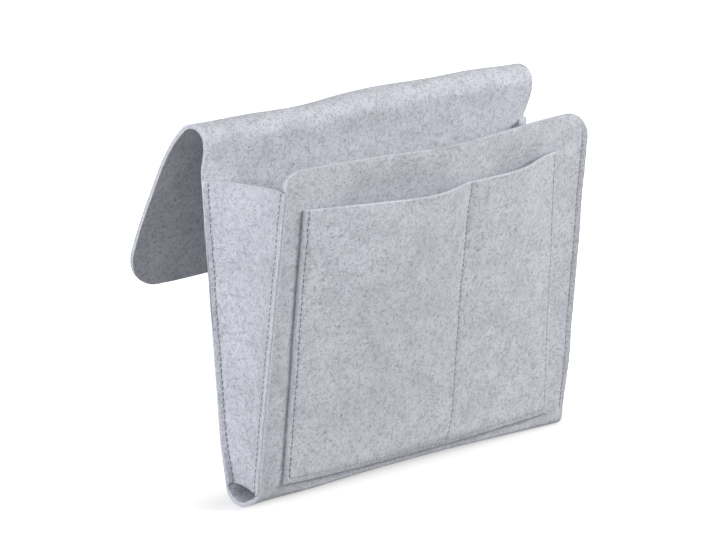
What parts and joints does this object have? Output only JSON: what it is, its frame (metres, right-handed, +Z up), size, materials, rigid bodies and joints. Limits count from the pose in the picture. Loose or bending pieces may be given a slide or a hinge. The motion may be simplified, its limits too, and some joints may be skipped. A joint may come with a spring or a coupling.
{
  "type": "bedside caddy",
  "caption": "Felt bedside caddy: a tapered open pouch with gusseted sides, a sewn front pocket with a divider, and a folded-over rear flap that tucks under a mattress.",
  "frame": {"origin": "on the surface that the caddy stands on, under the middle of its box", "axes": "+Z up, +X along the width to the right seen from the front, -Y out of the front, flap behind at +Y"},
  "size_m": [0.32, 0.1736, 0.2604],
  "materials": {
    "felt": "pressed melange felt, matte",
    "thread": "twisted sewing thread"
  },
  "bodies": {
    "bag": {"base_fold": "felt", "front_panel": "felt", "back_panel": "felt", "gusset_left": "felt", "gusset_right": "felt", "front_pocket": "felt", "thread_gusset_left_rear": "thread", "thread_gusset_left_front": "thread", "thread_gusset_right_rear": "thread", "thread_gusset_right_front": "thread", "thread_pocket_left": "thread", "thread_pocket_right": "thread", "thread_pocket_divider": "thread", "thread_pocket_bottom": "thread"},
    "crown": {"fold_crown": "felt"},
    "flap": {"rear_flap": "felt"}
  },
  "joints": [
    {"name": "crown_hinge", "type": "hinge", "parent": "bag", "child": "crown", "pos_m": [0, 0.00483, 0.25456], "axis": [1, 0, 0], "range_deg": [-15, 70], "stiffness_Nm_per_rad": 0.05, "springref_deg": 15.79},
    {"name": "flap_hinge", "type": "hinge", "parent": "crown", "child": "flap", "pos_m": [0, 0.02069, 0.25973], "axis": [1, 0, 0], "range_deg": [-15, 70], "stiffness_Nm_per_rad": 0.05, "springref_deg": 10.77}
  ],
  "couplings": [
    {"joint": "flap_hinge", "follows": "crown_hinge", "ratio": 1}
  ]
}
